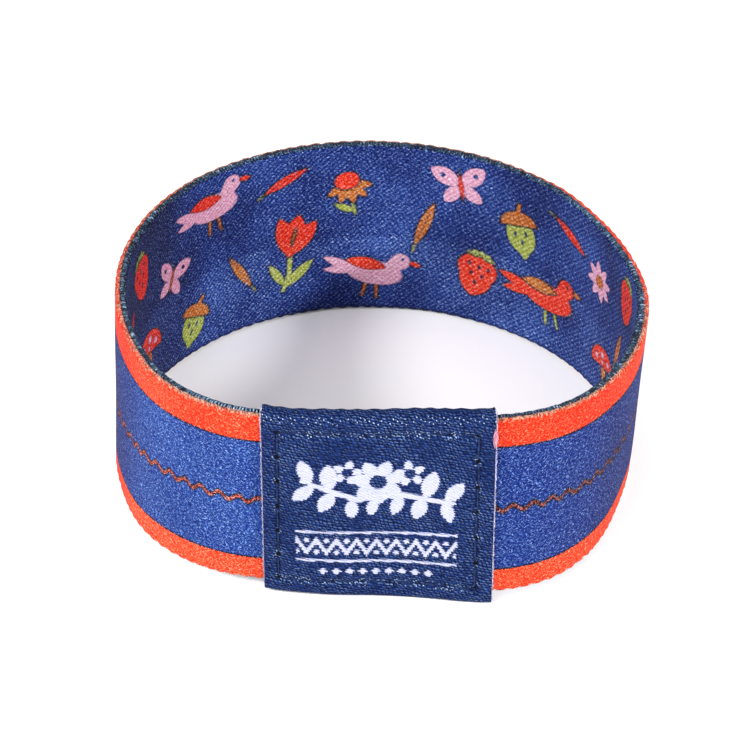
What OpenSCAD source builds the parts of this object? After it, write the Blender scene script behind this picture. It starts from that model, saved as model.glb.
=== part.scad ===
// Fabric wristband: a closed loop of woven elastic with a folded cloth label sewn round it.
// The stiff label keeps the front of the loop straight. The slack fold under the label
// props the front up a little, and the back of the loop stands on its lower edge.

/* [Elastic] */
// Width of the elastic, which is the height of the band
band_h = 22; // [18:0.5:26]
// Thickness of the elastic
band_t = 1.3; // [1:0.1:2]
// Radius of the loop's round back, at the outer face
back_r = 28.9; // [28:0.1:33]
// From the centre of that round back to the straight front
front_d = 22; // [20:0.1:22.5]
// Length of the straight front
front_w = 23.6; // [20:0.2:26]
// Height of the rounding along both edges of the elastic
edge_h = 0.6; // [0.4:0.1:1]

/* [Label] */
// Width of the label
label_w = 24; // [20:0.5:26]
// How far the label's middle lies to the right of the loop's middle
label_x = 1.8; // [-2:0.1:2]
// Thickness of the folded cloth on each face of the elastic
label_t = 1; // [0.8:0.1:1.2]
// Thickness of the fold over the upper edge of the elastic
fold_t = 0.6; // [0.4:0.1:1]
// How far the slack fold hangs below the lower edge of the elastic
label_drop = 1.3; // [1:0.1:2]
// Gap between the label and the elastic
label_gap = 0.06; // [0.04:0.01:0.1]

/* [Hidden] */

// Wear has pushed the wall out of its plain shape, and some of it leans.
// A row is a direction in degrees from +X, its reach in degrees to each side, and how far
// the wall moves outwards there: all of it for a push, its upper edge alone for a lean.
DIRECTION = 0;
REACH = 1;
OUTWARDS = 2;
pushes = [
    [-20, 70, -1.4],
    [40, 70, 0.7],
    [100, 80, 0.5],
    [160, 70, -0.7],
    [215, 70, -1.7],
];
leans = [
    [-118, 50, 0.9],
    [-62, 50, -0.8],
    [-15, 60, 1],
    [35, 70, -0.4],
    [110, 80, 0.5],
    [190, 60, -0.3],
];

// Steps along each stretch of the loop, and over each rounded edge
front_steps = 14;
corner_steps = 14;
back_steps = 78;
label_steps = 16;
edge_step = 30;
fold_step = 18;

// The straight front runs into the round back through one arc on each side
corner_r = (back_r^2 - (front_w / 2)^2 - front_d^2) / (2 * (back_r - front_d));
corner_turn = atan2(front_w / 2, front_d - corner_r);

// The fold under the label and the back of the loop share the floor
prop_span = front_d + back_r - band_t;
prop_tilt = asin(label_drop / prop_span);

// Heights of the fold over the upper edge and of the slack fold below, as half ellipses
slack_above_edge = 0.8;
upper_fold_h = label_t + fold_t;
lower_fold_h = label_drop + slack_above_edge;

function sum(v, i = 0) = i == len(v) ? 0 : v[i] + sum(v, i + 1);

// A smooth swell that is 1 in its own direction and fades to 0 at its reach
function swell(row, direction) =
    let (off = (direction - row[DIRECTION] + 540) % 360 - 180)
    abs(off) < row[REACH] ? (1 + cos(180 * off / row[REACH])) / 2 : 0;

function outwards(rows, direction) =
    sum([for (row = rows) row[OUTWARDS] * swell(row, direction)]);

// A point of the plain loop, moved to where the worn wall is
function worn(p) =
    let (direction = atan2(p.y, p.x),
         radius = norm([p.x, p.y]),
         out = outwards(pushes, direction) + outwards(leans, direction) * p.z / band_h,
         scaled = (radius + out) / radius)
    [p.x * scaled, p.y * scaled, p.z];

// Stations round the outer face, each [x, y, direction that the face looks in]
function arc_station(centre, r, turn) =
    [centre.x + r * sin(turn), centre.y - r * cos(turn), turn - 90];

front_stations = [for (i = [0 : front_steps - 1])
    [front_w * (i / front_steps - 1 / 2), -front_d, -90]];
right_stations = [for (i = [0 : corner_steps - 1])
    arc_station([front_w / 2, corner_r - front_d], corner_r, corner_turn * i / corner_steps)];
back_stations = [for (i = [0 : back_steps - 1])
    arc_station([0, 0], back_r, corner_turn + (360 - 2 * corner_turn) * i / back_steps)];
left_stations = [for (i = [0 : corner_steps - 1])
    arc_station([-front_w / 2, corner_r - front_d], corner_r,
                360 - corner_turn + corner_turn * i / corner_steps)];
loop_stations = concat(front_stations, right_stations, back_stations, left_stations);

// The label's stations follow the front, and the arcs where it is wider than the front
function front_y(x) =
    let (past = max(0, abs(x) - front_w / 2))
    corner_r - front_d - sqrt(corner_r^2 - past^2);
label_stations = [for (i = [0 : label_steps])
    let (x = label_x + label_w * (i / label_steps - 1 / 2), past = abs(x) - front_w / 2)
    [x, front_y(x), past > 0 ? -90 + sign(x) * asin(past / corner_r) : -90]];

// A section's point [inwards from the outer face, height] at a station
function placed(station, s) =
    worn([station.x - s.x * cos(station.z), station.y - s.x * sin(station.z), s.y]);

// Outline of a wall with elliptical edges, from its outer face over the top to its inner face
function wall_section(outer, inner, low, high, low_h, high_h, step) =
    let (middle = (outer + inner) / 2, half = (inner - outer) / 2)
    concat(
        [for (a = [0 : step : 180]) [middle - half * cos(a), high - high_h * (1 - sin(a))]],
        [for (a = [0 : step : 180]) [middle + half * cos(a), low + low_h * (1 - sin(a))]]);

band_section = wall_section(0, band_t, 0, band_h, edge_h, edge_h, edge_step);
label_outside = wall_section(-label_gap - label_t, band_t + label_gap + label_t, -label_drop,
                             band_h + label_gap + fold_t, lower_fold_h, upper_fold_h, fold_step);
label_inside = wall_section(-label_gap, band_t + label_gap, -label_gap, band_h + label_gap,
                            edge_h, edge_h, fold_step);

// Side faces between neighbouring rings of points, both rings in the same order
function side_faces(rings, size, closed, first = 0) =
    [for (i = [0 : rings - (closed ? 1 : 2)], j = [0 : size - 1], half = [0, 1])
        let (a = first + i * size + j,
             b = first + i * size + (j + 1) % size,
             c = first + ((i + 1) % rings) * size + j,
             d = first + ((i + 1) % rings) * size + (j + 1) % size)
        half == 0 ? [a, b, d] : [a, d, c]];

function reversed(faces) = [for (face = faces) [face[2], face[1], face[0]]];

band_points = [for (station = loop_stations, s = band_section) placed(station, s)];
label_ring = len(label_outside);
label_points = concat(
    [for (station = label_stations, s = label_outside) placed(station, s)],
    [for (station = label_stations, s = label_inside) placed(station, s)]);

// The cut sides of the label, between its outline and the channel for the elastic
function cut_side(ring) =
    let (channel = (label_steps + 1) * label_ring)
    [for (j = [0 : label_ring - 1], half = [0, 1])
        let (a = ring * label_ring + j,
             b = ring * label_ring + (j + 1) % label_ring,
             c = channel + a,
             d = channel + b)
        half == 0 ? [a, d, b] : [a, c, d]];

// Everything stands on the floor, centred over the origin
function tipped(p) = [p.x, p.y * cos(prop_tilt) + p.z * sin(prop_tilt),
                      p.z * cos(prop_tilt) - p.y * sin(prop_tilt)];
tipped_band = [for (p = band_points) tipped(p)];
tipped_label = [for (p = label_points) tipped(p)];
tipped_all = concat(tipped_band, tipped_label);
function middle_of(axis) =
    let (along = [for (p = tipped_all) p[axis]])
    (min(along) + max(along)) / 2;
stand = [-middle_of(0), -middle_of(1), -min([for (p = tipped_all) p.z])];

module band() {
    color("royalblue")
    translate(stand)
    polyhedron(tipped_band, side_faces(len(loop_stations), len(band_section), true),
               convexity = 6);
}

module label() {
    sides = side_faces(label_steps + 1, label_ring, false);
    channel = side_faces(label_steps + 1, label_ring, false, len(label_points) / 2);
    color("midnightblue")
    translate(stand)
    polyhedron(tipped_label,
               concat(sides, reversed(channel), cut_side(0), reversed(cut_side(label_steps))),
               convexity = 6);
}

band();
label();
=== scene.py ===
# Fabric wristband: printed woven elastic in a closed loop, with a folded satin label sewn round it
import math
from functools import partialmethod
import bpy
import bmesh
import numpy as np
from mathutils import Matrix, Vector


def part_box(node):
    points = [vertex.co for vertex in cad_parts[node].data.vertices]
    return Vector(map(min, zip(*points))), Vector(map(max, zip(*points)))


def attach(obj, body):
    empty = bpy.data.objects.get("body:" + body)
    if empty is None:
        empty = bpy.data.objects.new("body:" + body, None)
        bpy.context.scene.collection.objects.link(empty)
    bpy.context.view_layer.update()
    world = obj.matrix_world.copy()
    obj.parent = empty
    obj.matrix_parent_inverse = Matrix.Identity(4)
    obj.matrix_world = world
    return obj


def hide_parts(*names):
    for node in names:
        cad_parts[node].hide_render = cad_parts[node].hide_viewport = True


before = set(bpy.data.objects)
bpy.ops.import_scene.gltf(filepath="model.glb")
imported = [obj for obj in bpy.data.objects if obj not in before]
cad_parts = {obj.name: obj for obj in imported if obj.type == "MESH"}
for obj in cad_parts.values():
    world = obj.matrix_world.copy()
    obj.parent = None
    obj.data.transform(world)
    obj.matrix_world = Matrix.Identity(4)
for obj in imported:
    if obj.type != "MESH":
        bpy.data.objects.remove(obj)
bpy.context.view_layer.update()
mm = 0.001

# The wall's shape in mm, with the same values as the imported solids
loop = {
    "height": 22.0,
    "wall": 1.3,
    "backRadius": 28.9,
    "frontDepth": 22.0,
    "frontWidth": 23.6,
    "edge": 0.6,             # height of the rounding along both rims
    "labelDrop": 1.3,        # the slack fold that props the front up
    # each row is a direction in degrees, its reach to each side, and how far the wall moves out there
    "pushes": [(-20, 70, -1.4), (40, 70, 0.7), (100, 80, 0.5), (160, 70, -0.7), (215, 70, -1.7)],
    "leans": [(-118, 50, 0.9), (-62, 50, -0.8), (-15, 60, 1.0), (35, 70, -0.4), (110, 80, 0.5),
              (190, 60, -0.3)],
    # small leans that only the cloth has, of the upper and of the lower edge
    "topLeans": [(-10, 35, 0.05), (28, 26, -0.42), (135, 28, 0.2), (219, 30, -0.25)],
    "footLeans": [(-81, 25, -1.0), (-42, 24, 0.2), (-8, 24, -0.25), (204, 20, 0.1), (228, 24, -0.2)],
    "topRises": [(225, 24, 0.32)],       # how far the upper edge stands higher there
}
cornerRadius = ((loop["backRadius"] ** 2 - (loop["frontWidth"] / 2) ** 2 - loop["frontDepth"] ** 2)
                / (2 * (loop["backRadius"] - loop["frontDepth"])))
cornerTurn = math.atan2(loop["frontWidth"] / 2, loop["frontDepth"] - cornerRadius)
loopLength = (loop["frontWidth"] + 2 * cornerRadius * cornerTurn
              + loop["backRadius"] * (2 * math.pi - 2 * cornerTurn))
frontTilt = math.asin(loop["labelDrop"] / (loop["frontDepth"] + loop["backRadius"] - loop["wall"]))
halfWall, edge, height = loop["wall"] / 2, loop["edge"], loop["height"]
standAt = np.zeros(3)


def swells(rows, direction):
    total = 0
    for towards, reach, out in rows:
        off = (direction - towards + 540) % 360 - 180
        total = total + np.where(np.abs(off) < reach, out * (1 + np.cos(np.pi * off / reach)) / 2, 0)
    return total


def wallPoint(along, inward, up):
    # mm along the loop from the middle of the front, mm in from the outer face, mm up the wall
    along, inward, up = np.broadcast_arrays(along, inward, up)
    s = (along + loopLength / 2) % loopLength - loopLength / 2
    side, a = np.sign(s), np.abs(s)
    half, depth, back = loop["frontWidth"] / 2, loop["frontDepth"], loop["backRadius"]
    inCorner = np.clip((a - half) / cornerRadius, 0, cornerTurn)
    inBack = np.maximum(a - half - cornerRadius * cornerTurn, 0) / back
    turn = inCorner + inBack
    corner = inBack <= 0
    x = np.where(corner, np.minimum(a, half) + cornerRadius * np.sin(inCorner), back * np.sin(turn))
    y = np.where(corner, cornerRadius - depth - cornerRadius * np.cos(inCorner), -back * np.cos(turn))
    x, turn = x * side, turn * side
    x, y = x - inward * np.sin(turn), y + inward * np.cos(turn)
    direction, radius = np.degrees(np.arctan2(y, x)), np.hypot(x, y)
    out = swells(loop["pushes"], direction) + swells(loop["footLeans"], direction) * (1 - up / height)
    out = out + swells(loop["leans"] + loop["topLeans"], direction) * up / height
    up = up * (1 + swells(loop["topRises"], direction) / height)
    x, y = x * (radius + out) / radius, y * (radius + out) / radius
    level, steep = math.cos(frontTilt), math.sin(frontTilt)
    return (np.stack([x, y * level + up * steep, up * level - y * steep], -1) + standAt) * mm


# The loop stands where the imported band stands
probe = wallPoint(np.linspace(0, loopLength, 1201)[:, None, None],
                  np.array([0, halfWall, 2 * halfWall])[:, None],
                  np.array([0, edge, height - edge, height])).reshape(-1, 3)
low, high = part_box("band")
standAt = np.array([low[0] - probe[:, 0].min(), high[1] - probe[:, 1].max(),
                    low[2] - probe[:, 2].min()]) / mm
print("wall laid out:", round(loopLength, 1), "mm round outside, standing at", standAt.round(2))


def ripples(x, y, size, seed, waves=8):
    # a smooth uneven field of about -1 to 1, with lumps of about the given size
    pick = np.random.default_rng(seed)
    total = 0
    for turn, pace, start in pick.uniform((0, 0.6, 0), (2 * np.pi, 1.5, 2 * np.pi), (waves, 3)):
        total = total + np.sin(2 * np.pi * pace / size * (x * np.cos(turn) + y * np.sin(turn)) + start)
    return total * 1.4 / waves


def hump(x, middle, reach):
    # 1 at the middle, falling softly to 0 on both sides
    return np.exp(-((x - middle) / reach) ** 2)


def flatGrid(name, columns, rows, half):
    bm = bmesh.new()
    bmesh.ops.create_grid(bm, x_segments=columns, y_segments=rows, size=half)
    mesh = bpy.data.meshes.new(name)
    bm.to_mesh(mesh)
    bm.free()
    return mesh


def sheetGrid(name, across, up):
    # a flat grid with a line at each place of the two lists, and its map from 0 to 1 each way
    mesh = flatGrid(name, len(across) - 1, len(up) - 1, 0.5)
    flat = np.empty(len(mesh.vertices) * 3)
    mesh.vertices.foreach_get("co", flat)
    flat = flat.reshape(-1, 3) + 0.5
    column = np.rint(flat[:, 0] * (len(across) - 1)).astype(int)
    row = np.rint(flat[:, 1] * (len(up) - 1)).astype(int)
    corner = np.empty(len(mesh.loops), np.int32)
    mesh.loops.foreach_get("vertex_index", corner)
    place = np.stack([across[column] / across[-1], up[row] / up[-1]], -1)
    mesh.uv_layers.new(name="cloth").data.foreach_set("uv", place[corner].astype(np.float32).ravel())
    return mesh, column, row


def addField(mesh, name, values):
    mesh.attributes.new(name, "FLOAT", "POINT").data.foreach_set("value", values.astype(np.float32))


def shaped(mesh, places, **fields):
    # moves the grid's points, keeps number fields on them, and closes the seams
    mesh.vertices.foreach_set("co", places.astype(np.float32).ravel())
    for name, values in fields.items():
        addField(mesh, name, values)
    bm = bmesh.new()
    bm.from_mesh(mesh)
    bmesh.ops.remove_doubles(bm, verts=bm.verts, dist=1e-6)
    bmesh.ops.recalc_face_normals(bm, faces=bm.faces)
    bm.to_mesh(mesh)
    bm.free()
    mesh.shade_smooth()


def placed(name, data):
    thing = bpy.data.objects.new(name, data)
    bpy.context.scene.collection.objects.link(thing)
    return thing


def addPiece(name, mesh, finish):
    piece = placed(name, mesh)
    mesh.materials.append(finish)
    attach(piece, "root")
    return piece


def threads(name, paths, radius, finish, sides=6, tips=0.5, uneven=0.0, seed=1):
    # one round thread along each row of points, with a random shade number for each thread
    count, steps = paths.shape[:2]
    curve = bpy.data.curves.new(name, "CURVE")
    curve.dimensions, curve.bevel_depth, curve.use_fill_caps = "3D", mm, True
    curve.bevel_resolution = sides // 2 - 2
    pick = np.random.default_rng(seed)
    fromEnd = np.minimum(np.arange(steps), np.arange(steps)[::-1])
    thick = np.reshape(radius, (-1, 1)) * np.minimum(1, tips + fromEnd * 0.5)
    for path, size in zip(paths, thick * (1 + uneven * pick.uniform(-1, 1, (count, steps)))):
        line = curve.splines.new("POLY")
        line.points.add(steps - 1)
        line.points.foreach_set("co", np.c_[path, np.ones(steps)].ravel())
        line.points.foreach_set("radius", size)
    temporary = bpy.data.objects.new(name, curve)
    mesh = bpy.data.meshes.new_from_object(temporary)
    bpy.data.objects.remove(temporary)
    bpy.data.curves.remove(curve)
    mesh.name = name
    mesh.shade_smooth()
    addField(mesh, "shade", np.repeat(pick.random(count), len(mesh.vertices) // count))
    print(name + ":", count, "threads,", len(mesh.polygons), "faces")
    return addPiece(name, mesh, finish)


# Shader maths
class Value:
    # a node's output that takes plain + - * / and the few functions below
    def __init__(self, finish, socket):
        self.finish, self.socket = finish, socket

    def maths(self, operation, *others):
        inputs = dict(enumerate((self, *others)))
        return self.finish.node("ShaderNodeMath", {"operation": operation}, inputs)

    def __rsub__(self, other):
        return self * -1.0 + other

    def __rtruediv__(self, other):
        return self.power(-1.0) * other

    def wave(self):
        return (self * (2 * math.pi)).maths("SINE")

    __add__ = __radd__ = partialmethod(maths, "ADD")
    __sub__ = partialmethod(maths, "SUBTRACT")
    __mul__ = __rmul__ = partialmethod(maths, "MULTIPLY")
    __truediv__ = partialmethod(maths, "DIVIDE")
    size = partialmethod(maths, "ABSOLUTE")
    part = partialmethod(maths, "FRACT")
    whole = partialmethod(maths, "FLOOR")
    power = partialmethod(maths, "POWER")
    least = partialmethod(maths, "MINIMUM")
    most = partialmethod(maths, "MAXIMUM")

    def between(self, low, high):
        # 0 at low and 1 at high, with soft ends; low may be the larger
        return self.finish.node("ShaderNodeMapRange", {"interpolation_type": "SMOOTHSTEP"},
                                {"Value": self, "From Min": low, "From Max": high})


class Finish:
    # one material and the nodes in it
    def __init__(self, name):
        self.material = bpy.data.materials.new(name)
        self.material.use_nodes = True
        self.tree = self.material.node_tree
        self.tree.nodes.clear()

    def node(self, kind, settings=None, inputs=None, output=0):
        made = self.tree.nodes.new(kind)
        for key, value in (settings or {}).items():
            setattr(made, key, value)
        for key, value in (inputs or {}).items():
            if isinstance(value, Value):
                self.tree.links.new(value.socket, made.inputs[key])
            else:
                made.inputs[key].default_value = value
        return Value(self, made.outputs[output])

    def firstTwo(self, point):
        # the first two numbers of a point
        first = self.node("ShaderNodeSeparateXYZ", inputs={0: point})
        return first, Value(self, first.socket.node.outputs[1])

    def mapPlace(self, width, length):
        # mm across and along the cloth, from the piece's own map
        across, along = self.firstTwo(self.node("ShaderNodeUVMap", {"uv_map": "cloth"}))
        return across * width, along * length

    def ownPlace(self):
        return self.node("ShaderNodeTexCoord", output=3)

    def point(self, x, y):
        return self.node("ShaderNodeCombineXYZ", inputs={0: x, 1: y})

    def noise(self, point, scale, detail):
        return self.node("ShaderNodeTexNoise", inputs={"Vector": point, "Scale": scale, "Detail": detail})

    def spots(self, x, y):
        # one even random number for each whole cell
        return self.node("ShaderNodeTexWhiteNoise", {"noise_dimensions": "2D"}, {"Vector": self.point(x, y)})

    def field(self, name):
        return self.node("ShaderNodeAttribute", {"attribute_name": name}, output=2)

    def blend(self, factor, first, second):
        return self.node("ShaderNodeMix", {"data_type": "RGBA", "clamp_factor": True},
                         {0: factor, 6: first, 7: second}, output=2)

    def surface(self, colour, roughness, height=None, depth=0.0, **constants):
        inputs = {"Base Color": colour, "Roughness": roughness}
        for key, value in constants.items():
            inputs[key.replace("_", " ")] = value
        if height is not None:
            bump = {"Strength": 1.0, "Distance": depth * mm, "Height": height}
            inputs["Normal"] = self.node("ShaderNodeBump", inputs=bump)
        shader = self.node("ShaderNodeBsdfPrincipled", inputs=inputs)
        out = self.tree.nodes.new("ShaderNodeOutputMaterial")
        self.tree.links.new(shader.socket, out.inputs[0])
        return self.material


def dye(red, green, blue):
    # a colour as a screen shows it, 0 to 255
    return tuple((c / 255 / 12.92) if c < 11 else ((c / 255 + 0.055) / 1.055) ** 2.4
                 for c in (red, green, blue)) + (1.0,)


def dyes(piece):
    return {name: dye(*colour) for name, colour in piece["colours"].items()}


# Print on the inside: what, its colours (coral, lilac, green, ochre), mm to the right of the back's
# middle as seen from the label, mm up, degrees turned, and size
printed = [
    ("berryFruit", "cog", -81, 17, 10, 1.0), ("slimLeaf", "cg", -77, 5, -15, 0.9),
    ("daisy", "lo", -73, 12, 0, 0.8), ("bird", "lco", -69, 18, -8, 0.9),
    ("mushroom", "clo", -66, 5.5, 6, 0.9), ("slimLeaf", "og", -61, 11, 70, 0.9),
    ("butterfly", "lo", -57, 17, 15, 0.95), ("berryFruit", "cog", -55, 5, -8, 0.9),
    ("acorn", "go", -50.5, 12, 25, 1.0), ("coneFlower", "lcg", -46, 17.5, -14, 0.85),
    ("bird", "ocl", -43, 5, 8, 0.85), ("slimLeaf", "cg", -38.5, 11.8, 62, 0.9),
    ("berryFruit", "cog", -34.5, 17, 12, 1.0), ("mushroom", "clo", -32.5, 5.8, -6, 0.95),
    ("butterfly", "lo", -27, 12, -20, 0.9), ("bird", "lco", -20, 18, 6, 1.0),
    ("acorn", "go", -23.5, 4.6, -20, 1.0), ("slimLeaf", "og", -16.5, 8, 118, 0.85),
    ("tulip", "cgo", -10.5, 9, -12, 1.0), ("slimLeaf", "cg", -11, 18.2, 22, 0.85),
    ("bird", "lco", -1, 5.2, -6, 1.0), ("coneFlower", "ocg", -4, 16.8, 16, 0.9),
    ("slimLeaf", "og", 4.5, 12, 68, 0.95), ("butterfly", "lc", 8.3, 18, 10, 1.0),
    ("berryFruit", "cog", 10.5, 7, -12, 1.0), ("acorn", "go", 15.6, 14.6, 14, 1.1),
    ("bird", "cog", 20, 7.6, 10, 1.1), ("slimLeaf", "cg", 23, 17.5, -24, 0.9),
    ("daisy", "lo", 29, 15.2, 0, 0.95), ("mushroom", "clo", 30.5, 5, 10, 0.85),
    ("slimLeaf", "og", 34.8, 10, 66, 0.85), ("berryFruit", "cog", 37, 18, -10, 0.95),
    ("bird", "lco", 41.5, 7.5, -12, 0.95), ("butterfly", "lo", 45.5, 15.5, 18, 0.95),
    ("tulip", "cgo", 50, 9.5, 12, 0.9), ("slimLeaf", "cg", 54, 17.5, 30, 0.9),
    ("acorn", "go", 56.5, 6, -15, 1.0), ("mushroom", "clo", 61, 15, -8, 0.9),
    ("bird", "lco", 67, 6, 8, 0.9), ("coneFlower", "lcg", 70.5, 16.5, 10, 0.9),
    ("slimLeaf", "og", 75, 10, 60, 0.9), ("berryFruit", "cog", 79, 5, 8, 0.9),
]
colourKeys = {"c": "coral", "l": "lilac", "g": "green", "o": "ochre"}


def disc(x, y, r):
    return np.hypot(x, y) - r


def oval(x, y, rx, ry):
    return (np.hypot(x / rx, y / ry) - 1) * min(rx, ry)


def leaf(x, y, x0, y0, x1, y1, half):
    # pointed at both ends, half as wide as given at its middle
    reach = math.hypot(x1 - x0, y1 - y0) / 2
    cx, cy, ux, uy = (x0 + x1) / 2, (y0 + y1) / 2, (x1 - x0) / 2 / reach, (y1 - y0) / 2 / reach
    along, side = (x - cx) * ux + (y - cy) * uy, (y - cy) * ux - (x - cx) * uy
    r = (reach ** 2 + half ** 2) / (2 * half)
    return np.maximum(np.hypot(along, side + r - half) - r, np.hypot(along, side - r + half) - r)


def stalk(x, y, x0, y0, x1, y1, r0, r1):
    t = np.clip(((x - x0) * (x1 - x0) + (y - y0) * (y1 - y0)) / ((x1 - x0) ** 2 + (y1 - y0) ** 2), 0, 1)
    return np.hypot(x - x0 - t * (x1 - x0), y - y0 - t * (y1 - y0)) - r0 - (r1 - r0) * t


def motif(kind, x, y):
    # the drawing's parts in painting order: which of its colours (-1 for bare cloth), distance in mm
    if kind == "tulip":
        yield 1, stalk(x, y, 0, 0, 0.5, -3, 0.3, 0.26)
        yield 1, stalk(x, y, 0.5, -3, 0.2, -5.2, 0.26, 0.22)
        for ends in ((0.3, -4.8, 2.9, -1.0, 0.62), (0.3, -4.6, -2.2, -1.8, 0.5)):
            yield 1, leaf(x, y, *ends)
        for ends in ((0.2, -0.7, -2.1, 4.2, 1.05), (-0.2, -0.7, 2.2, 4.0, 1.05), (0, -0.9, 0.1, 4.7, 1.25)):
            yield 0, leaf(x, y, *ends)
        yield 2, leaf(x, y, 0, 0.3, 0.1, 3.3, 0.32)
    if kind == "bird":
        for ends in ((0.3, -1, 0.6, -3.4), (-0.7, -1, -1.0, -3.3)):
            yield 2, stalk(x, y, *ends, 0.2, 0.15)
        yield 0, oval(x + 0.2 * y, y + 0.1, 3.1, 1.6)
        yield 0, disc(x - 2.7, y - 1.8, 1.05)
        for ends in ((1.2, 0.2, 3.4, 2.6, 0.95), (-2, 0, -6.0, 1.7, 0.55), (-2, -0.1, -5.8, 0.0, 0.5)):
            yield 0, leaf(x, y, *ends)
        yield 1, leaf(x, y, 3.5, 1.9, 5.0, 1.6, 0.3)
        yield 1, leaf(x, y, 1.3, 0.7, -3.4, 1.3, 0.8)
        yield -1, disc(x - 2.9, y - 2.1, 0.2)
    if kind == "mushroom":
        yield 2, stalk(x, y, 0, 0.3, 0.2, -3.0, 0.6, 0.8)
        yield 0, np.maximum(oval(x, y, 3.1, 2.6), -(y + 0.25))
        for cx, cy, r in ((-1.7, 0.8, 0.42), (0.1, 1.5, 0.48), (1.7, 0.7, 0.42), (-0.1, 0.35, 0.3)):
            yield 1, disc(x - cx, y - cy, r)
    if kind == "daisy":
        for k in range(8):
            c, s = math.cos(k * math.pi / 4 + 0.2), math.sin(k * math.pi / 4 + 0.2)
            yield 0, leaf(x, y, 0.3 * c, 0.3 * s, 2.7 * c, 2.7 * s, 0.55)
        yield 1, disc(x, y, 0.85)
    if kind == "coneFlower":
        yield 2, stalk(x, y, 0, 0, -0.3, -4.2, 0.2, 0.18)
        for k in range(5):
            turn = math.radians(200 + 35 * k)
            yield 0, leaf(x, y, 0, 0.2, 3.0 * math.cos(turn), 0.3 + 3.0 * math.sin(turn), 0.55)
        yield 1, oval(x, y - 0.7, 1.5, 1.2)
        yield 2, leaf(x, y, -0.3, -3.9, -2.4, -2.0, 0.45)
    if kind == "slimLeaf":
        yield 0, leaf(x, y, -3.3, 0, 3.3, 0.3, 0.62)
        yield -1, stalk(x, y, -2.3, 0.02, 2.2, 0.25, 0.05, 0.05)
        yield 1, stalk(x, y, -3.2, 0, -4.2, -0.15, 0.16, 0.13)
    if kind == "berryFruit":
        yield 0, oval(x, y - 0.5, 2.3, 1.9)
        yield 0, leaf(x, y, 0, 2.2, 0.1, -3.3, 1.9)
        for cx, cy in ((-1.1, 0.9), (0.1, 0.8), (1.2, 0.9), (-0.6, -0.3), (0.7, -0.3), (0.1, -1.4)):
            yield -1, oval(x - cx, y - cy, 0.2, 0.32)
        for k in range(5):
            turn = math.radians(18 + 36 * k)
            yield 2, leaf(x, y, 0, 2.2, 1.9 * math.cos(turn), 2.2 + 1.2 * math.sin(turn) - 0.3, 0.32)
    if kind == "butterfly":
        for side in (-1, 1):
            yield 0, leaf(x, y, side * 0.1, 0.1, side * 3.1, 2.3, 1.05)
            yield 0, leaf(x, y, side * 0.1, -0.1, side * 2.2, -2.1, 0.8)
            yield -1, disc(x - side * 1.9, y - 1.35, 0.3)
        yield 1, leaf(x, y, 0, -1.9, 0, 1.7, 0.3)
    if kind == "acorn":
        yield 0, oval(x, y + 0.6, 1.7, 2.1)
        yield 0, leaf(x, y, 0, 0, 0, -3.4, 0.8)
        for cx, cy in ((-0.7, -0.5), (0.6, -0.4), (0.0, -1.4)):
            yield -1, oval(x - cx, y - cy, 0.17, 0.36)
        yield 1, np.maximum(oval(x, y - 0.7, 2.1, 1.4), -(y - 0.55))
        yield 1, stalk(x, y, 0, 1.7, 0.5, 2.9, 0.24, 0.2)


def paintInside(x, y):
    # one distance field for each colour of the print: below 0 is inside that colour
    layers = {colour: np.full(x.shape, 3.0) for colour in colourKeys.values()}
    for kind, colours, cx, cy, turn, size in printed:
        c, s = math.cos(math.radians(turn)), math.sin(math.radians(turn))
        near = np.hypot(x - cx, y - cy) < 9 * size
        px, py = (x[near] - cx) / size, (y[near] - cy) / size
        for which, distance in motif(kind, px * c + py * s, py * c - px * s):
            colour = None if which < 0 else colourKeys[colours[min(which, len(colours) - 1)]]
            for other, layer in layers.items():
                layer[near] = (np.minimum(layer[near], distance * size) if other == colour
                               else np.maximum(layer[near], -distance * size))
    return layers


# The woven elastic
band = {
    "columns": 720,          # steps round the loop
    "outerRows": 16,
    "rimRows": 12,
    "innerRows": 84,
    "squareness": 3.0,       # 2 makes the rims half ellipses, more makes them flatter
    "lumpDepth": 0.1,        # mm from the rim's lumps to the notches between them
    "lumpSink": 0.035,       # mm that the lumps themselves lie under the rim's rounding
    "lumpPitch": 1.45,
    "unevenness": 0.06,      # mm that the worn wall wanders in and out
    "upperBorder": 18.6,     # heights of the orange borders' inner edges
    "lowerBorder": 3.05,
    "waveMiddle": 10.8,
    "wavePitch": 2.2,
    "waveSwing": 0.34,
    # where the colours differ, the first six by painted shade: mm round to the right from the middle of
    # the front, and how far to each side of that the change starts and is full
    "stretches": {
        "frontRight": (27.0, 24.0, 6.0),     # painted shade: deeper in colour, as the next four are
        "farRight": (41.0, 21.0, 7.0),
        "farLeft": (-49.0, 26.0, 5.0),
        "insideLeft": (-51.0, 17.0, 7.0),
        "insideRight": (57.0, 20.0, 9.0),
        "backFoot": (loopLength / 2 + 3.0, 13.0, 4.0),       # painted shade at the inside's foot there
        "sag": (-41.0, 20.0, 2.0),           # the wave and the lower border's inner edge run lower
        "rightEnd": (44.0, 22.0, 4.0),       # both borders' inner edges run lower
        "orangeRim": (56.0, 20.0, 9.0),      # the orange reaches further over the rim
        "tanRim": (-44.0, 24.0, 14.0),       # so do the pale fibres
    },
    "colours": {
        "blue": (36, 68, 135), "orange": (206, 64, 32), "thinLine": (20, 20, 22),
        "wave": (178, 76, 44), "shadedWave": (140, 66, 42),
        "insideDeep": (26, 44, 104), "insidePale": (43, 69, 137), "insideLeft": (38, 46, 92),
        "green": (150, 158, 76), "ochre": (172, 104, 46), "coral": (198, 54, 28), "lilac": (198, 152, 172),
        "printEdge": (40, 36, 34), "ribGap": (14, 26, 42), "rib": (40, 62, 84), "tanGap": (118, 70, 58),
        "tan": (206, 164, 138), "creaseShade": (20, 34, 84), "crestGlint": (96, 138, 168),
        "blueGlint": (146, 168, 204), "orangeGlint": (226, 130, 104),
    },
}

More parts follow.
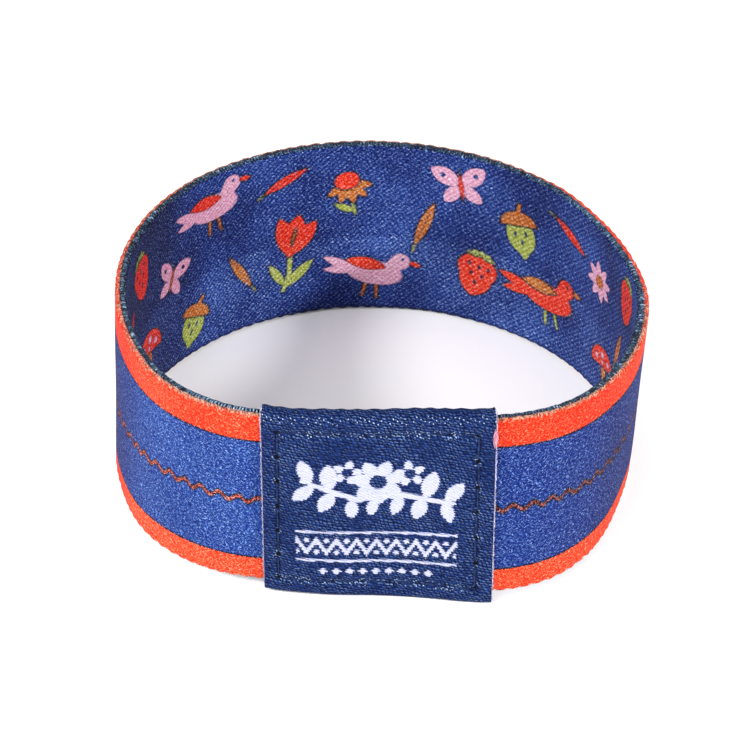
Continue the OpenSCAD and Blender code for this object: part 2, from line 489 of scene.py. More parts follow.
# the band's section: places inwards and up, round from the outer face's foot over both rims
overRim, power = np.linspace(0, np.pi, band["rimRows"] + 1), 2 / band["squareness"]
rimIn = halfWall - halfWall * np.sign(np.cos(overRim)) * np.abs(np.cos(overRim)) ** power
rimUp = edge * np.abs(np.sin(overRim)) ** power
sectionIn = np.concatenate([np.zeros(band["outerRows"]), rimIn[:-1],
                            np.full(band["innerRows"], 2 * halfWall), rimIn[::-1]])
sectionUp = np.concatenate([np.linspace(edge, height - edge, band["outerRows"] + 1)[:-1],
                            height - edge + rimUp[:-1],
                            np.linspace(height - edge, edge, band["innerRows"] + 1)[:-1],
                            edge - rimUp[::-1]])
sectionAt = np.concatenate([[0], np.cumsum(np.hypot(np.diff(sectionIn), np.diff(sectionUp)))])
girth = sectionAt[-1]
rimLength = girth / 2 - (height - 2 * edge)


def rimLumps(along):
    # 1 on the lumps that the weft makes of a rim, 0 between them, spaced a little unevenly
    s = along % loopLength
    return 0.5 + 0.5 * np.sin(2 * np.pi * s / band["lumpPitch"] + 1.1 * np.sin(s / 2.3)
                              + 0.7 * np.sin(s / 5.1 + 1))


def rimNotch(along, fine=0.0):
    # mm that a rim lies under its rounding
    return band["lumpDepth"] * (1 - rimLumps(along) ** 0.7) + band["lumpSink"] * (1 + fine)


alongLoop = np.linspace(0, loopLength, band["columns"] + 1)
bandMesh, column, row = sheetGrid("band", alongLoop, sectionAt)
s, inward, up = alongLoop[column], sectionIn[row], sectionUp[row]
shown = np.clip(np.minimum(s, loopLength - s) / 8, 0, 1)     # nothing uneven at the seam under the label
topness, footness = hump(up, height, 0.8), hump(up, 0, 0.8)
fine = ripples(s, up * 0.2, 0.9, 5)
notch = shown * rimNotch(s, fine)
bulge = ripples(s, up, 9, 3) * band["unevenness"] + (topness + footness) * 0.05 * (rimLumps(s) - 0.5)
across = (inward - halfWall) / halfWall
bandPlaces = wallPoint(s, inward - bulge * shown + (topness + footness) * 0.02 * across * fine,
                       up - notch * topness + notch * footness * 1.7)
rightOfBack = (loopLength / 2 - s) * (1 - loop["wall"] / loop["backRadius"])
shaped(bandMesh, bandPlaces, **paintInside(rightOfBack, up))
print("band:", len(bandMesh.polygons), "faces")


def bandFinish():
    f, dyed = Finish("printedElastic"), dyes(band)
    u, v = f.mapPlace(loopLength, girth)
    section = ((v / girth + 0.25).part() - 0.25) * girth             # 0 at the outer face's foot
    up = section + edge
    fromMiddle = (up - height / 2).size()
    past = fromMiddle - (height / 2 - edge + rimLength / 2)          # mm past a rim's crest, inwards
    inside = past.between(0.55, 0.75)

    def stretch(name):
        middle, start, full = band["stretches"][name]
        return (u - middle % loopLength).size().between(start, full)

    frontRight, farRight, farLeft = stretch("frontRight"), stretch("farRight"), stretch("farLeft")
    sag, rightEnd = stretch("sag"), stretch("rightEnd")
    orangeRim, tanRim = stretch("orangeRim"), stretch("tanRim")

    # short stitches slant both ways, in uneven patches; inside, they pull into rows of small pits
    warp = f.noise(f.point(u, v), 1.1, 1.0) - 0.5
    x, y = u + warp * 0.7, v - warp * 0.5
    rising = f.noise(f.point((x * 0.8 + y * 0.6) * 2.6, (y * 0.8 - x * 0.6) * 7.2), 1.0, 1.0)
    falling = f.noise(f.point((x * 0.8 - y * 0.6) * 2.6 + 50.0, (y * 0.8 + x * 0.6) * 7.2), 1.0, 1.0)
    grain = f.noise(f.point(u + 20.0, v * 1.1), 6.0, 2.0)
    stitch = (rising + frontRight * 0.04).most(falling)
    left, right = (u + warp * 1.2) / 0.7, (v + warp * 0.9) / 0.62
    pit = (left + right).wave() * 0.25 + (left - right).wave() * 0.25 + 0.5
    tall = stitch + (grain - 0.5) * 0.5
    tall = tall - inside * ((tall - 0.58) * 0.22 - (pit - 0.5) * 0.2)
    patch = f.noise(f.point(u + 9.0, v), 0.12, 2.0) - 0.5
    wobble = (stitch - 0.55) * 0.5 + (grain - 0.5) * 0.5

    # outer face: two borders, a thin dark line along each, and a waving line
    upper = up - band["upperBorder"] + rightEnd * 0.3 + farLeft * 0.12
    lower = band["lowerBorder"] - sag * 0.5 - rightEnd * 0.35 - up
    border = upper.most(lower) + wobble * 0.4
    onBorder = border.between(-0.04, 0.04)
    onLower = (lower + wobble * 0.4).between(-0.04, 0.04)
    outer = f.blend(onBorder, dyed["blue"], dyed["orange"])
    outer = f.blend((border + 0.07).size().between(0.17, 0.06) * 0.8, outer, dyed["thinLine"])
    sway = f.noise(f.point(u / 4.0, 5.0), 1.0, 1.0) - 0.5
    line = (up - band["waveMiddle"] - (u / band["wavePitch"] + sway * 0.5).wave() * band["waveSwing"]
            - sway * 0.3 + sag + wobble * 0.2).size()
    outer = f.blend(line.between(0.54, 0.32) * 0.85, outer, dyed["thinLine"])
    # the waving line's thread is darker on the front's right, as painted shade
    thread = f.blend(frontRight, dyed["wave"], dyed["shadedWave"])
    outer = f.blend(line.between(0.29, 0.13) * tall.between(0.43, 0.6) * 0.9, outer, thread)
    # inside: four printed colours, each with a dark, ragged edge
    inner = f.blend(patch * 2.0 + 0.4, dyed["insideDeep"], dyed["insidePale"])
    # painted shade on the inside's left
    inner = f.blend(stretch("insideLeft") * 0.6, inner, dyed["insideLeft"])
    for name, halo in (("green", 0.6), ("ochre", 0.8), ("coral", 0.8), ("lilac", 0.2)):
        away = f.field(name) + wobble * 0.55
        inner = f.blend(away.between(0.36, 0.08) * halo, inner, dyed["printEdge"])
        inner = f.blend(away.between(0.08, -0.1), inner, dyed[name])
    # rims: the outer colours end in pale fibres over dark ribs, then comes a crease, painted dark as its
    # shade
    strand = f.noise(f.point(u * 5.0, past * 1.2), 1.0, 2.0)
    ribs = f.blend((u / 0.36 + past * 0.8).wave() * 0.5 + 0.5, dyed["ribGap"], dyed["rib"])
    tan = f.blend(strand.between(0.4, 0.62) * (1.0 - farRight * 0.5), dyed["tanGap"], dyed["tan"])
    fibres = (past + strand * 0.5 - tanRim * 0.12).between(-0.42, -0.1)
    outer = f.blend(fibres * (0.9 - orangeRim * 0.8 - tanRim * 0.3), outer, tan)
    ribStart = past + strand * 0.3 - orangeRim * 0.14 - tanRim * 0.1
    skin = f.blend(ribStart.between(-0.14, -0.02), outer, ribs)
    skin = f.blend((past + (strand - 0.5) * 0.6).between(0.28, 0.6) * 0.8, skin, dyed["creaseShade"])
    crest = (past - 0.42).size().between(0.3, 0.1) * strand.between(0.56, 0.7)
    skin = f.blend(crest * 0.5, skin, dyed["crestGlint"])
    skin = f.blend(inside, skin, inner)
    # painted shade: how much deeper the colour is in the stretches and at the inside's foot; lighter along
    # the lower border
    backFoot = stretch("backFoot") * past.between(10.5, 2.0)
    depth = inside * up.between(2.0, 0.0) * (backFoot * 1.5 + past.between(1.3, 0.7) * 2.5)
    depth = depth + inside * stretch("insideRight") * 0.5 + frontRight * (1.6 - onBorder * 0.7)
    depth = depth + farLeft * (3.8 - onBorder * 1.8) + farRight * (1.8 - onBorder * 1.5) - onLower * 0.8
    # grain: the gaps between the stitches are deeper in colour, partly the cloth and partly painted shade,
    # and the stitches have painted pale glints
    gamma = 3.0 - tall * 3.3 - patch * 0.4 + depth * 0.2
    skin = f.node("ShaderNodeGamma", inputs={"Color": skin, "Gamma": gamma})
    glint = tall.between(0.58, 0.84) * (0.5 - inside * 0.26 - frontRight * 0.1)
    glint = glint + inside * grain.between(0.6, 0.78) * 0.25
    pale = f.blend(onBorder * past.between(0.0, -0.2), dyed["blueGlint"], dyed["orangeGlint"])
    skin = f.blend(glint, skin, pale)
    return f.surface(skin, 0.85, tall, 0.16, Sheen_Weight=0.04, Sheen_Roughness=0.5,
                     Sheen_Tint=(0.9, 0.8, 0.82, 1.0), Specular_IOR_Level=0.08)


bandPiece = addPiece("wovenBand", bandMesh, bandFinish())
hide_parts("band")
print("band finished")

# The label: one strip of satin, wrapped round the wall and closed under it
label = {
    "width": 24.2,
    "middle": 1.72,          # mm right of the loop's middle
    "thickness": 0.42,
    "gap": 0.06,             # between it and the elastic
    "columns": 150,          # steps across it
    "uprightRows": (1.6, 22.45),     # from its left side to the stitches up it
    "levelRows": (0.9, 20.3),        # heights of the stitches across it
    "stitchesUp": 6,
    "stitchesAcross": 7,
    "startUp": 0.6,          # height at which the strip's map starts, on its front
    "colours": {
        "satinGap": (0, 10, 48), "satin": (13, 36, 87), "float": (100, 124, 164), "tieDown": (176, 192, 212),
        "pale": (174, 176, 198), "paleRidgeShade": (140, 144, 176), "grooveShade": (10, 16, 40),
        "pulled": (140, 170, 200), "speck": (168, 190, 214), "hole": (3, 4, 9), "cutSide": (150, 142, 160),
    },
}
(seamLeft, seamRight), (footSeam, topSeam) = label["uprightRows"], label["levelRows"]
outFace, inFace = -label["gap"] - label["thickness"], loop["wall"] + label["gap"] + label["thickness"]
# the cloth's outer side as (in from the elastic's outer face, height), from the front's foot upwards
outline = ([(outFace, h) for h in np.arange(label["startUp"], 21.5, 1.0)]
           + [(outFace, 21.5), (-0.42, 21.95), (-0.2, 22.3), (0.2, 22.47), (0.65, 22.52), (1.1, 22.47),
              (1.5, 22.3), (1.72, 21.95), (inFace, 21.5)]
           + [(inFace, h) for h in np.arange(20.5, 1.4, -1.0)]
           + [(1.72, 0.9), (1.45, 0.2), (1.1, -0.35), (0.82, -0.8), (0.6, -1.12), (0.25, -1.3),
              (-0.1, -1.24), (-0.34, -0.98), (-0.42, -0.6), (-0.46, -0.1)])


def throughPoints(points, fineUntil, fineStep, coarseStep):
    # a smooth closed line through the points: places along it, inwards and up
    p = np.array(points, float)
    a, b, c, d = (np.roll(p, k, 0)[:, None] for k in (1, 0, -1, -2))
    t = np.linspace(0, 1, 12, endpoint=False)[None, :, None]
    fine = 0.5 * (2 * b + (c - a) * t + (2 * a - 5 * b + 4 * c - d) * t ** 2
                  + (3 * b - a - 3 * c + d) * t ** 3)
    fine = np.vstack([fine.reshape(-1, 2), p[:1]])
    at = np.concatenate([[0], np.cumsum(np.hypot(*np.diff(fine, axis=0).T))])
    steps = np.concatenate([np.arange(0, fineUntil, fineStep),
                            np.arange(fineUntil, at[-1] - 0.1, coarseStep), at[-1:]])
    return steps, np.interp(steps, at, fine[:, 0]), np.interp(steps, at, fine[:, 1])


wrapAt, wrapIn, wrapUp = throughPoints(outline, fineUntil=22.0, fineStep=0.15, coarseStep=0.3)
wrapLength = wrapAt[-1]


def labelAlong(fromLeft):
    # where a place across the label lies along the loop
    x = fromLeft + label["middle"] - label["width"] / 2
    half = loop["frontWidth"] / 2
    past = np.maximum(np.abs(x) - half, 0)
    return np.sign(x) * (np.minimum(np.abs(x), half) + cornerRadius * np.arcsin(past / cornerRadius))


needleUp = np.linspace(footSeam, topSeam, label["stitchesUp"] + 1)
needleAcross = np.linspace(seamLeft, seamRight, label["stitchesAcross"] + 1)


def labelDent(fromLeft, up):
    # mm that the cloth lies in towards the elastic along the rows of stitches
    beside = np.abs(fromLeft - (seamLeft + seamRight) / 2) - (seamRight - seamLeft) / 2
    above = np.abs(up - (footSeam + topSeam) / 2) - (topSeam - footSeam) / 2
    near = np.minimum(np.where(above < 0.3, np.abs(beside), 9), np.where(beside < 0.3, np.abs(above), 9))
    return 0.14 * hump(near, 0, 0.3) + 0.05 * hump(near, 0, 0.9)


def labelPoint(fromLeft, inward, up, lift=0.0):
    # mm from the left side, in from the elastic's outer face, up, and out from the cloth
    front = np.clip((0.3 - inward) / 0.6, 0, 1)
    # the upper edge is rippled, with two dips, and turns up at its right end
    topWave = (0.06 * np.sin(fromLeft * 2 * np.pi / 1.85 + 0.9 * np.sin(fromLeft * 0.7)) - 0.03
               + 0.28 * np.exp(-(label["width"] - fromLeft) / 0.7)
               - 0.16 * hump(fromLeft, 3.2, 2.4) - 0.1 * hump(fromLeft, 19.0, 2.4))
    # the lower edge rises towards both ends
    footWave = (0.38 * np.exp(-fromLeft / 2.2) + 0.22 * hump(fromLeft, 4.6, 3.2)
                + 0.12 * np.clip((fromLeft - 16) / 3, 0, 1))
    wave = topWave * hump(up, 22.5, 0.7) + footWave * hump(up, -1.3, 0.9)
    loose = 0.05 * ripples(fromLeft, up, 6, 11) + 0.03 * ripples(fromLeft, up, 2.2, 12)
    dent = front * (labelDent(fromLeft, up) - loose) - (1 - front) * labelDent(fromLeft, up) * 0.7
    return wallPoint(labelAlong(fromLeft), inward + dent - lift * np.where(inward < 0.65, 1, -1), up + wave)


acrossLabel = np.linspace(0, label["width"], label["columns"] + 1)
labelMesh, column, row = sheetGrid("label", acrossLabel, wrapAt)
fromLeft, inward, up = acrossLabel[column], wrapIn[row], wrapUp[row]


def figure(x, y):
    # the woven figure: a spray of leaves and blooms
    parts = [stalk(x, y, -7.8, 1.4, -2.2, -0.9, 0.24, 0.36), stalk(x, y, -2.2, -0.9, 2.4, -0.3, 0.36, 0.36),
             stalk(x, y, 2.4, -0.3, 8.0, -1.2, 0.36, 0.24)]
    for x0, y0, x1, y1, half in (
            (-7.0, 1.1, -8.0, 4.0, 0.8), (-6.6, 0.8, -8.8, -1.3, 0.75), (-5.0, 0.3, -5.2, 3.6, 0.9),
            (-4.6, 0.1, -6.0, -2.6, 0.8), (4.8, -0.6, 4.0, -3.4, 0.85), (5.0, -0.6, 6.0, 2.8, 0.9),
            (7.2, -1.0, 9.0, 1.4, 0.8), (7.0, -1.0, 7.8, -3.6, 0.7), (-2.7, -0.9, -2.7, -3.4, 0.7),
            (2.5, -0.2, 1.6, -2.9, 0.7), (-0.3, -0.7, -0.8, -3.0, 0.6)):
        parts.append(leaf(x, y, x0, y0, x1, y1, half))
    blooms = ((0.0, 1.4, 2.9, 7, 0.3), (-3.2, 2.6, 1.6, 5, 0.1), (3.3, 2.5, 1.7, 5, 0.5))
    for cx, cy, r, petals, start in blooms:
        for k in range(petals):
            turn = start + 2 * math.pi * k / petals
            parts.append(leaf(x, y, cx + 0.2 * r * math.cos(turn), cy + 0.2 * r * math.sin(turn),
                              cx + r * math.cos(turn), cy + r * math.sin(turn), 0.27 * r))
    spray = np.minimum.reduce(parts)
    for cx, cy, r, petals, start in blooms:
        spray = np.maximum(spray, 0.2 - np.abs(disc(x - cx, y - cy, 0.24 * r)))
    # under it, a border of two rules with a zigzag and beads between them, and a row of lozenges
    swing = np.abs((x / 2.1) % 1 - 0.5) * 2
    rules = np.abs(np.abs(y + 7.2) - 1.9) - 0.15
    border = np.minimum(np.abs(y + 7.2 - (swing - 0.5) * 1.7) * 0.5 - 0.2, rules)
    border = np.maximum(border, np.abs(x) - 8.5)
    bead = np.hypot(x % 2.1 - 1.05, y + 7.2 - 0.75) - 0.3
    bead = np.minimum(bead, np.hypot((x + 1.05) % 2.1 - 1.05, y + 7.2 + 0.75) - 0.3)
    lozenge = np.abs((x + 0.7) % 1.4 - 0.7) + np.abs(y + 10.5) * 1.1 - 0.5
    lozenge = np.maximum(lozenge * 0.7, np.abs(x) - 6.3)
    return np.minimum.reduce([spray, border, np.maximum(bead, np.abs(x) - 8.4), lozenge])


# the figure is woven into the front alone
pale = np.where((inward < 0) & (up > 0.3), figure(fromLeft - 12.0, up - 12.9), 3.0)
shaped(labelMesh, labelPoint(fromLeft, inward, up), pale=pale)
print("label:", len(labelMesh.polygons), "faces before its thickness")


def labelFinish():
    f, dyed = Finish("wovenSatin"), dyes(label)
    u, v = f.mapPlace(label["width"], wrapLength)
    up = ((v + 3.0) / wrapLength).part() * wrapLength - 3.0 + label["startUp"]    # height, on the front
    drift = f.noise(f.point(u, v), 0.7, 3.0) - 0.5
    patch = f.noise(f.point(u + 4.0, v), 0.2, 2.0).between(0.3, 0.7)
    fibre = f.noise(f.point((u + v * 0.3) * 1.5, v * 4.5), 1.0, 1.0)
    # rows of floats that run slightly downhill, each broken into short steeper dashes; their pale colour is
    # painted highlight, the satin's sheen
    course = (v + u * 0.17 + drift * 0.6) / 0.345
    rowLine = course.part() - 0.5
    across = u / 0.46 + course.whole() * 0.37 + drift * 2.0
    dashLine = across.part() - 0.5
    chance = f.spots(across.whole(), course.whole())
    off = (rowLine * 0.345 + dashLine * 0.12 + (chance - 0.5) * 0.12).size()
    dash = off.between(0.1, 0.01) * dashLine.size().between(0.46, 0.2)
    glint = dash * (chance * 0.8 + 0.2) * (patch * 0.7 + 0.3)
    cloth = f.blend(fibre.between(0.38, 0.72), dyed["satinGap"], dyed["satin"])
    cloth = f.blend(glint * 0.8, cloth, dyed["float"])

    def dots(row, cell, rowSize, cellSize, shift):
        # how far each point is from its cell's middle, and one random number for each cell
        fromRow, fromCell = row.part() - 0.5, cell.part() - 0.5
        far = (fromRow * fromRow * rowSize + fromCell * fromCell * cellSize).power(0.5)
        return far, f.spots(cell.whole() + shift[0], row.whole() + shift[1])

    # tie-down dots at the top fold
    row = (up + u * 0.42 + drift * 0.3) / 0.6
    far, dotChance = dots(row, u / 0.45 + row.whole() * 0.3, 0.36, 0.2, (0.0, 30.0))
    dot = far.between(0.09, 0.03) * (up - 22.1).size().between(0.55, 0.4) * dotChance.between(0.0, 0.55)
    cloth = f.blend(dot * (patch * 0.5 + 0.5), cloth, dyed["tieDown"])
    # the pale figure, its edge stepped by the rows, with painted shade along its woven ridges
    mask = (f.field("pale") + rowLine * 0.2 + (chance - 0.5) * 0.05).between(0.05, -0.05)
    ridge = ((v + u * 0.55) / 0.34 + drift).wave() * 0.5 + 0.5
    palest = f.blend(ridge * 0.5 + (fibre - 0.4) * 0.9, dyed["pale"], dyed["paleRidgeShade"])
    cloth = f.blend(mask, cloth, palest)
    # the dark row that each line of stitches lies in, painted shade in its dent, and its needle holes with
    # pulled fibres round them
    upright = up.between(footSeam - 0.3, footSeam) * up.between(topSeam + 0.3, topSeam)
    level = u.between(seamLeft - 0.3, seamLeft) * u.between(seamRight + 0.3, seamRight)
    beside = (u - seamLeft).size().least((u - seamRight).size())
    above = (up - footSeam).size().least((up - topSeam).size())
    stepUp, stepAcross = needleUp[1] - needleUp[0], needleAcross[1] - needleAcross[0]
    toUp = (((up - footSeam) / stepUp + 0.5).part() - 0.5) * stepUp
    toAcross = (((u - seamLeft) / stepAcross + 0.5).part() - 0.5) * stepAcross
    holeA = (beside * beside * 2.2 + toUp * toUp).power(0.5) + (1.0 - upright)
    holeB = (above * above * 2.2 + toAcross * toAcross).power(0.5) + (1.0 - level)
    grooveShade = (beside.between(0.34, 0.1) * upright).most(above.between(0.26, 0.1) * level * 0.7)
    cloth = f.blend(grooveShade * 0.6, cloth, dyed["grooveShade"])
    lint = holeA.least(holeB).between(0.9, 0.3).most(above.between(0.45, 0.15) * level * 0.8)
    lint = lint * chance.between(0.45, 0.8) * dash
    cloth = f.blend(lint * 0.5, cloth, dyed["pulled"])
    row = (v + u * 0.4) / 0.26
    far, speckChance = dots(row, u / 0.34 + row.whole() * 0.31, 0.07, 0.12, (9.0, 0.0))
    speck = far.between(0.1, 0.04) * speckChance.between(0.66, 0.9)
    pulled = ((above - 0.1).size().between(0.6, 0.2) * level * 0.9).most(holeA.between(1.1, 0.4))
    cloth = f.blend(speck * pulled * (patch * 0.5 + 0.5), cloth, dyed["speck"])
    # the needle holes, painted black as the shade inside them
    hole = (holeA - (fibre - 0.5) * 0.8).between(0.38, 0.2).most(holeB.between(0.26, 0.14) * 0.6)
    cloth = f.blend(hole, cloth, dyed["hole"])
    # the cut sides
    cut = u.least(label["width"] - u) + (f.noise(f.point(u, v), 2.4, 2.0) - 0.5) * 0.14
    cloth = f.blend(cut.between(0.05, 0.0) * 0.6, cloth, dyed["cutSide"])
    tall = glint * 0.8 + fibre * 0.6 + mask * (0.4 + ridge * 0.25) - hole
    return f.surface(cloth, 0.6, tall, 0.07, Specular_IOR_Level=0.05)


labelPiece = addPiece("satinLabel", labelMesh, labelFinish())
solid = labelPiece.modifiers.new("thickness", "SOLIDIFY")
solid.thickness, solid.offset = label["thickness"] * mm, -1.0
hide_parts("label")
print("label finished")

# Threads and fibres
trim = {
    "ribPitch": 0.36,        # mm between the weft loops over each rim
    "ribRadius": 0.078,
    "fuzz": 3200,            # short fibres along the upper rim, and half as many along the lower one
    "frays": 340,            # short fibres along each cut side of the label
    "frayRadius": 0.02,
    "cutRadius": 0.036,
    "sewingRadius": 0.085,
    "looseUp": 12.4,         # height of the loose thread halfway up the right side
    "tuft": 100,             # fibres in the tuft at the label's right side, and its height
    "tuftUp": 20.1,
    "tuftRadius": 0.018,
    "colours": {
        "rib": (15, 30, 46), "ribPale": (58, 86, 110), "ribFleck": (146, 170, 192),
        "fuzz": (128, 70, 58), "fuzzPale": (214, 174, 150), "fray": (122, 120, 148),
        "frayPale": (200, 192, 208), "tuft": (168, 104, 122), "tuftPale": (204, 158, 174),
        "sewing": (12, 24, 58), "sewingPale": (30, 50, 96),
    },
}
trimDyes = dyes(trim)
pick = np.random.default_rng(8)
labelEnds = labelAlong(np.array([-0.1, label["width"] + 0.1]))


def drawn(count, low, high):
    # one random number for each thread
    return pick.uniform(low, high, (count, 1))


def awayFrom(along, middle):
    # mm along the loop from a place that is given as the band's stretches are
    return np.abs(along % loopLength - middle % loopLength)


def besideLabel(along):
    along = (along + loopLength / 2) % loopLength - loopLength / 2
    return along[(along < labelEnds[0]) | (along > labelEnds[1])]


def rimPoint(along, share, top, lift):
    # a point over the rim, share 0 at the outer face and 1 at the inner one
    x = 2 * share - 1
    rise = edge * (1 - np.abs(x) ** band["squareness"]) ** (1 / band["squareness"]) + lift
    rise = rise - rimNotch(along)
    up = np.where(top, height - edge + rise, edge - rise)
    return wallPoint(along, share * loop["wall"], up)


def ribFinish():
    f = Finish("weftRibs")
    place = f.ownPlace()
    fleck, slow = f.noise(place, 2200.0, 2.0), f.noise(place, 160.0, 2.0)
    # a pale worn stretch at the left of the label, placed in metres
    across, back = f.firstTwo(place)
    worn = (across + 0.0146).size().between(0.0042, 0.0024) * back.between(-0.018, -0.021)
    shade = (f.field("shade") * 0.5 + slow * 0.8 + worn * 0.8).between(0.45, 1.0)
    colour = f.blend(shade, trimDyes["rib"], trimDyes["ribPale"])
    fleckShare = fleck.between(0.52, 0.66) * (shade * 0.6 + 0.25) + worn * 0.25
    colour = f.blend(fleckShare, colour, trimDyes["ribFleck"])
    return f.surface(colour, 0.85, fleck, 0.05, Sheen_Weight=0.06, Specular_IOR_Level=0.15)


def fibreFinish(name, colour):
    f = Finish(name)
    fleck = f.noise(f.ownPlace(), 900.0, 1.0)
    shade = (f.field("shade") * 0.7 + fleck * 0.5).between(0.3, 0.9)
    return f.surface(f.blend(shade, trimDyes[colour], trimDyes[colour + "Pale"]), 0.8, fleck, 0.02,
                     Sheen_Weight=0.1, Specular_IOR_Level=0.1)


ribAt = np.arange(0, loopLength, trim["ribPitch"])
ribAt = ribAt + pick.uniform(-0.08, 0.08, len(ribAt))
ribLift = np.array([-0.1, 0.0, 0.03, 0.04, 0.03, 0.0, -0.1])
ribPaths = []
for top in (True, False):
    start = besideLabel(ribAt)[:, None]
    # the ribs start further in at the left, and lie further in at the right of the back
    onLeft = np.clip((27 - awayFrom(start, -44)) / 8, 0, 1)
    share = 0.34 + 0.1 * onLeft + (0.46 - 0.1 * onLeft) * np.linspace(0, 1, len(ribLift))
    share = share + drawn(len(start), -0.06, 0.06)
    share = share + 0.12 * np.clip((17 - awayFrom(start, 65)) / 9, 0, 1)
    lean = drawn(len(start), 0.0, 0.3)
    lift = ribLift + drawn(len(start), -0.02, 0.02)
    ribPaths.append(rimPoint(start + (share - 0.5) * lean, share, top, lift if top else lift * 0.5 - 0.07))
threads("selvageRibs", np.concatenate(ribPaths), trim["ribRadius"], ribFinish(), uneven=0.12)

# Short fibres stand off the rims' outer crests
fuzzPaths = []
for top in (True, False):
    start = besideLabel(pick.uniform(0, loopLength, trim["fuzz"] // (1 if top else 2)))
    # they thin out in a stretch on each side
    start = start[awayFrom(start, 59) > 18 * pick.random(len(start)) ** 0.3]
    start = start[awayFrom(start, -46) > 20 * (1 - pick.random(len(start)) * 1.6)][:, None]
    count = len(start)
    share = drawn(count, 0.0, 0.26) + np.arange(4) * drawn(count, 0.01, 0.06)
    step = np.arange(4) * drawn(count, -0.12, 0.12)
    lift = np.array([-0.04, 0.05, 0.08, 0.03]) * drawn(count, 0.3, 1.3) * (1 if top else 0.3)
    fuzzPaths.append(rimPoint(start + step, np.clip(share, 0, 1), top, lift))
threads("rimFuzz", np.concatenate(fuzzPaths), pick.uniform(0.016, 0.03, sum(len(p) for p in fuzzPaths)),
        fibreFinish("rimFibres", "fuzz"), sides=4)

# Sewing thread in a box, on the front and on the back of the label
sewn, sewnRadius = [], []
lift = np.array([-0.12, 0.03, 0.08, 0.09, 0.08, 0.03, -0.12])
along, radius, shorter = np.linspace(0, 1, len(lift)), trim["sewingRadius"], 0.08
# each row's needle holes and place, how far its stitches sway, and how thick they are
stitchRows = ((needleUp, seamLeft, 0.07, 1.0), (needleUp, seamRight, 0.119, 1.25),
              (needleAcross, footSeam, 0.06, 1.0), (needleAcross, topSeam, 0.06, 1.0))
for face in (outFace, inFace):
    for needles, middle, reach, thick in stitchRows:
        for low, high in zip(needles[:-1], needles[1:]):
            start, end = middle + pick.uniform(-reach, reach, 2)
            run = low + shorter + (high - low - 2 * shorter) * along
            aside = start + (end - start) * along
            if needles is needleUp:
                sewn.append(labelPoint(aside, face, run, lift))
            else:
                sewn.append(labelPoint(run, face, aside, lift - 0.07))
            sewnRadius.append(radius * thick)
# loose loops of the same thread, at three places beside the right row
for centreUp in (topSeam, footSeam, trim["looseUp"]):
    for loose in range(3):
        start, size = pick.uniform(0, 6.3), pick.uniform(0.25, 0.5)
        turn = start + along * pick.uniform(2.2, 3.6)
        sewn.append(labelPoint(seamRight - 0.15 + size * np.cos(turn) + pick.uniform(-0.3, 0.2), outFace,
                               centreUp + size * 0.8 * np.sin(turn), lift + 0.03))
        sewnRadius.append(radius * 0.7)


def sewingFinish():
    f = Finish("sewingThread")
    twist = f.noise(f.ownPlace(), 2600.0, 1.0)
    colour = f.blend(twist.between(0.35, 0.75), trimDyes["sewing"], trimDyes["sewingPale"])
    return f.surface(colour, 0.6, twist, 0.03, Specular_IOR_Level=0.12)


threads("boxStitch", np.array(sewn), sewnRadius, sewingFinish(), tips=0.8, uneven=0.04)


def onWrap(at):
    # a place along the label's section: inwards and up
    return np.interp(at % wrapLength, wrapAt, wrapIn), np.interp(at % wrapLength, wrapAt, wrapUp)


# The cut sides show pale ends: a lumpy thread along each ply, and short frays
edges, frays, count = [], [], trim["frays"]
for side, outwards, seed in ((0.0, -1, 31), (label["width"], 1, 55)):
    at = np.linspace(-1.6, 22.6, 120)
    inward, up = onWrap(at)
    edges.append(labelPoint(side + outwards * 0.04 * ripples(at, 0 * at, 0.8, seed), inward + 0.08, up))
    at = drawn(count, -1.5, 22.4)
    at = at + np.arange(5) * drawn(count, -0.16, 0.16)
    away = np.array([-0.05, 0.04, 0.09, 0.11, 0.08]) * drawn(count, 0.2, 1.5)
    inward, up = onWrap(at)
    frays.append(labelPoint(side + outwards * away, inward + drawn(count, 0, 0.4), up))
cutFinish = fibreFinish("cutFibres", "fray")
threads("labelCut", np.array(edges), trim["cutRadius"], cutFinish, uneven=1.0, seed=4)
threads("labelFrays", np.concatenate(frays), trim["frayRadius"], cutFinish, sides=4)

# One pink tuft bows out over the right side, near the top
count, reach = trim["tuft"], np.linspace(0, 1, 5)
tuftUp = pick.normal(trim["tuftUp"], 0.4, (count, 1))
tuftBow = drawn(count, -0.22, 0.22)
tuftUp = tuftUp + (reach - 0.5) * drawn(count, 0.5, 1.6)
tuftAway = label["width"] - 0.03 + tuftBow * np.sin(math.pi * reach) + pick.normal(0, 0.05, (count, 1))
threads("labelTuft", labelPoint(tuftAway, outFace - 0.02 - drawn(count, 0.0, 0.14), tuftUp),
        trim["tuftRadius"], fibreFinish("tuftFibres", "tuft"), sides=4)
print("threads made")

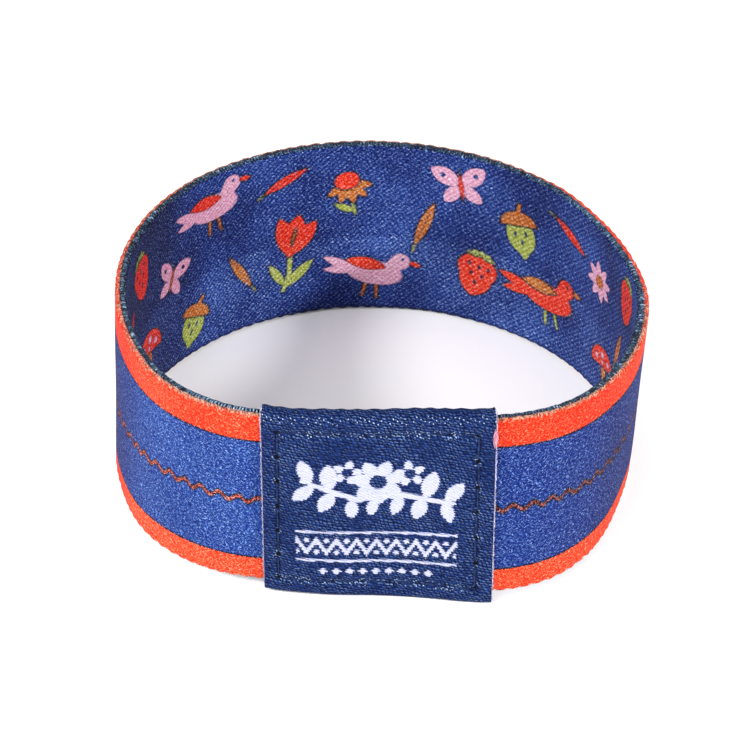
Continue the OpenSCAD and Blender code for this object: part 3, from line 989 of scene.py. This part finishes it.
# Floor, light and camera
floorMesh = flatGrid("floor", 1, 1, 3.0)
floorMesh.materials.append(Finish("paleFloor").surface(dye(249, 248, 249), 0.9, Specular_IOR_Level=0.1))
floorPiece = placed("floor", floorMesh)

world = bpy.data.worlds.new("studio")
bpy.context.scene.world = world
world.use_nodes = True
background = world.node_tree.nodes["Background"].inputs
background[0].default_value, background[1].default_value = (1.0, 1.0, 1.0, 1.0), 0.82

lights = {
    # the way to each lamp from the loop, its size in m and its power in W
    "leftLamp": ((-28, -18, 23.6), 0.1, 2.6),
    "rightLamp": ((35, -21, 20.8), 0.042, 3.6),
    "softBox": ((-30, -32, 34), 0.5, 1.8),
}
for name, (towards, size, power) in lights.items():
    lamp = bpy.data.lights.new(name, "AREA")
    lamp.shape, lamp.size, lamp.energy = "DISK", size, power
    holder = placed(name, lamp)
    holder.location = Vector(towards).normalized() * 0.6
    holder.rotation_mode = "QUATERNION"
    holder.rotation_quaternion = (-Vector(towards)).to_track_quat("-Z", "Y")

view = {
    "distance": 400.0,       # mm from the aim
    "aim": (0.0, 0.25, 11.5),
    "turn": 1.84,            # degrees round to the right of the label
    "rise": 37.69,
    "roll": 1.37,
    "pictureWidth": 750,     # pixels, as are the three below
    "focal": 3738.0,
    "right": 4.39,           # how far the picture is moved
    "up": 15.36,
}
camera = bpy.data.cameras.new("camera")
cameraHolder = placed("camera", camera)
turn, rise, roll = (math.radians(view[k]) for k in ("turn", "rise", "roll"))
turned = (Matrix.Rotation(turn, 4, "Z") @ Matrix.Rotation(math.pi / 2 - rise, 4, "X")
          @ Matrix.Rotation(roll, 4, "Z"))
back = turned @ Vector((0, 0, view["distance"]))
cameraHolder.matrix_world = Matrix.Translation((Vector(view["aim"]) + back) * mm) @ turned
camera.sensor_width, width = 36.0, view["pictureWidth"]
camera.lens = camera.sensor_width * view["focal"] / width
camera.shift_x, camera.shift_y = -view["right"] / width, -view["up"] / width
camera.clip_start, camera.clip_end = 0.01, 20.0
bpy.context.scene.camera = cameraHolder
bpy.context.scene.view_settings.view_transform = "Standard"
print("camera and lights set")
